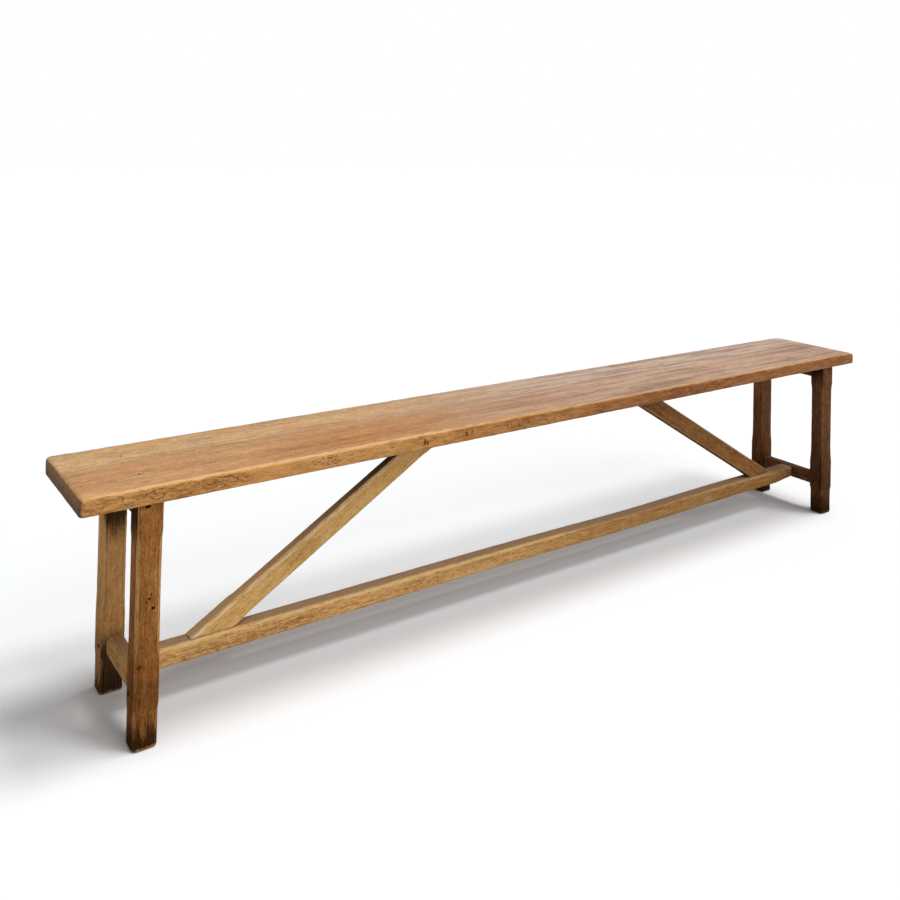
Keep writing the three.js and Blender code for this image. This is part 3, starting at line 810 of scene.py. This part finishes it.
def seat_board():
    """Seat plank from a cube: rounded corners, eased arrises, divided finely, then worn along its edges."""
    centre = (seat_low + seat_high) / 2
    bpy.ops.object.select_all(action="DESELECT")
    size = (seat_length, seat_width, seat_thickness)
    bpy.ops.mesh.primitive_cube_add(size=1, location=centre, scale=size)
    piece = bpy.context.object
    piece.name = "worn_seat"
    piece.data.name = "worn_seat"
    bpy.ops.object.transform_apply(location=True, rotation=True, scale=True)
    bpy.ops.object.mode_set(mode="EDIT")
    bpy.ops.mesh.select_mode(type="EDGE")

    def round_edges(radius, segments, test):
        """Bevels the edges whose middle and run pass the test."""
        shape = bmesh.from_edit_mesh(piece.data)
        bpy.ops.mesh.select_all(action="DESELECT")
        for edge in shape.edges:
            start, end = edge.verts[0].co, edge.verts[1].co
            if test((start + end) / 2, end - start):
                edge.select_set(True)
        bmesh.update_edit_mesh(piece.data)
        bpy.ops.mesh.bevel(
            offset=radius, offset_type="OFFSET", segments=segments, profile=0.5, affect="EDGES"
        )

    def stands(run):
        return abs(run.z) > seat_thickness / 2

    def front_left(middle):
        return middle.x < centre.x and middle.y < centre.y

    def lies_low(middle, run):
        return abs(run.z) < seat_thickness / 10 and middle.z < seat_low.z + 0.001

    round_edges(0.009, 5, lambda middle, run: stands(run) and front_left(middle))
    round_edges(0.013, 5, lambda middle, run: stands(run) and not front_left(middle))
    round_edges(0.0075, 6, lambda middle, run: not stands(run) and middle.z > centre.z)
    round_edges(0.002, 2, lies_low)
    bpy.ops.mesh.select_mode(type="VERT")

    def cut(axis, place):
        """Cuts the whole board across one axis."""
        normal = [0, 0, 0]
        normal[axis] = 1
        point = [0, 0, 0]
        point[axis] = place
        bpy.ops.mesh.select_all(action="SELECT")
        bpy.ops.mesh.bisect(plane_co=point, plane_no=normal)

    for share in (0.2, 0.5, 0.8):
        cut(2, seat_low.z + seat_thickness * share)
    rows = 22
    for row in range(1, rows):
        cut(1, seat_low.y + seat_width * row / rows)
    columns = 260
    for column in range(1, columns):
        cut(0, seat_low.x + seat_length * column / columns)
    bpy.ops.object.mode_set(mode="OBJECT")
    modify(piece, "SUBSURF", subdivision_type="SIMPLE", levels=1, render_levels=1)

    def board_arris():
        """Share of arris within 11 mm of two sides together, less along the underside."""
        places, _, _ = mesh_arrays(piece.data)
        half = np.array(size) / 2
        gap = np.sort(half - np.abs(places - np.array(centre)), axis=1)
        sharp = 1 - np.clip((gap[:, 0] + gap[:, 1]) / 0.011, 0, 1)
        return sharp * np.where(places[:, 2] < centre.z, 0.4, 1)

    wear_down(piece, board_arris(), flat=(1, 0.0006), arris=(0.75, 0.0014), chip=(0.66, 0.0016))
    keep_edge(piece.data, board_arris())
    finish_piece(piece, "oak_seat", finishes["seat_plank"], "seat_plank")
    return piece


def peg(node, side):
    """Oak peg: a hand-whittled stick with a domed outer end."""
    low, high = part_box(node)
    radius = (high.z - low.z) / 2
    centre = (low + high) / 2
    bpy.ops.object.select_all(action="DESELECT")
    bpy.ops.mesh.primitive_cylinder_add(
        vertices=12, radius=radius * 0.985, depth=high.x - low.x, location=centre,
        rotation=(0, math.pi / 2, 0),
    )
    piece = bpy.context.object
    piece.name = "whittled_" + node
    piece.data.name = piece.name
    bpy.ops.object.transform_apply(location=True, rotation=True, scale=True)
    bpy.ops.object.mode_set(mode="EDIT")
    bpy.ops.mesh.select_mode(type="FACE")
    shape = bmesh.from_edit_mesh(piece.data)
    bpy.ops.mesh.select_all(action="DESELECT")
    for face in shape.faces:
        if face.normal.x * side > 0.9:
            face.select_set(True)
    bmesh.update_edit_mesh(piece.data)
    bpy.ops.mesh.inset(thickness=radius * 0.2, depth=0)
    bpy.ops.mesh.inset(thickness=radius * 0.3, depth=radius * 0.04)
    bpy.ops.mesh.inset(thickness=radius * 0.25, depth=-radius * 0.05)
    bpy.ops.object.mode_set(mode="OBJECT")
    soften_angles(piece, radius * 0.1, 60)
    displace(piece, chips, 1, 0.0003)
    finish_piece(piece, "oak_pegs", peg_oak, node)
    bpy.ops.object.shade_smooth_by_angle(angle=math.radians(40))


def nail(node):
    """Hand-forged nail: a square shank drawn to a point, with a faceted head let into the seat."""
    low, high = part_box(node)
    centre = (low + high) / 2
    half = (high.x - low.x) / 2
    bpy.ops.object.select_all(action="DESELECT")
    place = (centre.x, centre.y, high.z - 0.0011)
    bpy.ops.mesh.primitive_cube_add(size=1, location=place, scale=(half * 2, half * 2, 0.001))
    piece = bpy.context.object
    piece.name = "forged_" + node
    piece.data.name = piece.name
    bpy.ops.object.transform_apply(location=True, rotation=True, scale=True)
    bpy.ops.object.mode_set(mode="EDIT")
    bpy.ops.mesh.select_mode(type="FACE")

    def select_end(direction):
        """Selects the highest face that looks up, or the lowest that looks down."""
        shape = bmesh.from_edit_mesh(piece.data)
        bpy.ops.mesh.select_all(action="DESELECT")
        facing = [face for face in shape.faces if face.normal.z * direction > 0.9]
        max(facing, key=lambda face: face.calc_center_median().z * direction).select_set(True)
        bmesh.update_edit_mesh(piece.data)

    select_end(1)
    bpy.ops.mesh.inset(thickness=half * 0.42, depth=0.0005)
    bpy.ops.mesh.inset(thickness=half * 0.3, depth=0.0001)
    select_end(-1)
    bpy.ops.mesh.inset(thickness=half * 0.42, depth=0)
    for length, narrow in ((0.01, 0.92), (0.02, 0.8), (0.0265, 0.45)):
        bpy.ops.mesh.extrude_region_move(TRANSFORM_OT_translate={"value": (0, 0, -length)})
        bpy.ops.transform.resize(value=(narrow, narrow, 1))
    bpy.ops.object.mode_set(mode="OBJECT")
    soften_angles(piece, 0.0003, 30)
    finish_piece(piece, "iron_nails", nail_iron, node)
    bpy.ops.object.shade_smooth_by_angle(angle=math.radians(40))


def push(piece, rise):
    """Lifts each vertex of a piece by what rise gives for its place."""
    places, _, _ = mesh_arrays(piece.data)
    places[:, 2] += rise(places[:, 0], places[:, 2])
    piece.data.vertices.foreach_set("co", places.ravel())
    piece.data.update()


def share_past(x, start, length):
    """0 up to start, then rising to 1 over a length."""
    return np.clip((x - start) / length, 0, 1)


def seat_end_rise(x, z):
    """The top of the seat is worn down toward its right end."""
    return -0.004 * share_past(x, 1.06, 0.078) ** 2 * (z - seat_low.z) / seat_thickness


def stretcher_rise(x, z):
    """The stretcher sags a little right of the middle, and is cut away under its right tenon."""
    sag = 0.004 * np.exp(-(((x - 0.3) / 0.25) ** 2))
    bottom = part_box("long_stretcher")[0].z
    under_tenon = 1 - share_past(z, bottom, 0.087 - bottom)
    return 0.008 * share_past(x, 0.924, 0.075) * under_tenon - sag


# Widths of the cells that the timbers are divided into
fine = 0.0017
long_cell = 0.0021

push(seat_board(), seat_end_rise)
push(timber("long_stretcher", "oak_frame", long_cell), stretcher_rise)
for end, side in (("left", -1), ("right", 1)):
    timber("brace_" + end, "oak_frame", fine)
    timber("low_rail_" + end, "oak_frame", fine)
    timber("top_rail_" + end, "oak_frame", fine)
    peg("stretcher_pin_" + end, side)
    for row in ("front", "rear"):
        corner = row + "_" + end
        timber("leg_" + corner, "oak_legs", fine)
        peg("top_peg_" + corner, side)
        peg("low_peg_" + corner, side)
        nail("seat_nail_" + corner)


def studio():
    """Pale floor, soft light from above and in front, and a pale world."""
    bpy.ops.object.select_all(action="DESELECT")
    bpy.ops.mesh.primitive_plane_add(size=60, location=(0, 0, 0))
    floor = bpy.context.object
    floor.name = "studio_floor"
    paint = new_finish("studio_floor")
    sent_light, seen_white = (0.62, 0.62, 0.62, 1), (1.022, 1.035, 1.053, 1)
    tint = paint.mix(paint.shown_or_mirrored(), sent_light, seen_white)
    floor.data.materials.append(paint.send(paint.node("ShaderNodeBsdfDiffuse", {}, {"Color": tint})))

    # Lamps: direction of the light, strength and width in degrees
    lamps = {
        "key_softbox": ((-0.28, 0.07, -1), 1.3, 18),
        "front_softbox": ((-0.4, 0.45, -1), 0.8, 14),
        "low_softbox": ((-0.4, 1.6, -1), 0.85, 40),
    }
    for name, (direction, strength, width) in lamps.items():
        data = bpy.data.lights.new(name, "SUN")
        data.energy = strength
        data.angle = math.radians(width)
        lamp = bpy.data.objects.new(name, data)
        lamp.rotation_mode = "QUATERNION"
        lamp.rotation_quaternion = Vector(direction).to_track_quat("-Z", "Y")
        bpy.context.scene.collection.objects.link(lamp)

    # The world gives little light, and is white where it is seen
    world = bpy.data.worlds.new("studio_world")
    bpy.context.scene.world = world
    sky = Finish(world)
    brightness = {"Value": sky.shown_or_mirrored(), "To Min": 0.25, "To Max": 1}
    strength = sky.node("ShaderNodeMapRange", {}, brightness)
    background = sky.node("ShaderNodeBackground", {}, {"Color": (1, 1, 1, 1), "Strength": strength})
    sky.send(background, "ShaderNodeOutputWorld")


def camera():
    """Level camera at standing height off the left end, with its picture shifted down."""
    place = (-1.55902, -1.81021, 1.08634)
    yaw = math.radians(34.96)
    roll = math.radians(-1.07)
    focal_pixels = 953.97
    horizon_pixel = 143.03
    picture_size = 900

    forward = Vector((math.sin(yaw), math.cos(yaw), 0))
    right = Vector((math.cos(yaw), -math.sin(yaw), 0))
    down = forward.cross(right)
    picture_right = math.cos(roll) * right + math.sin(roll) * down
    picture_down = -math.sin(roll) * right + math.cos(roll) * down
    data = bpy.data.cameras.new("camera")
    data.sensor_width = 36
    data.lens = focal_pixels / picture_size * data.sensor_width
    data.shift_y = -(picture_size / 2 - horizon_pixel) / picture_size
    data.clip_end = 200
    shot = bpy.data.objects.new("camera", data)
    bpy.context.scene.collection.objects.link(shot)
    turn = Matrix((picture_right, -picture_down, -forward)).transposed()
    shot.matrix_world = Matrix.Translation(place) @ turn.to_4x4()
    bpy.context.scene.camera = shot


studio()
camera()
bpy.context.scene.view_settings.view_transform = "Standard"
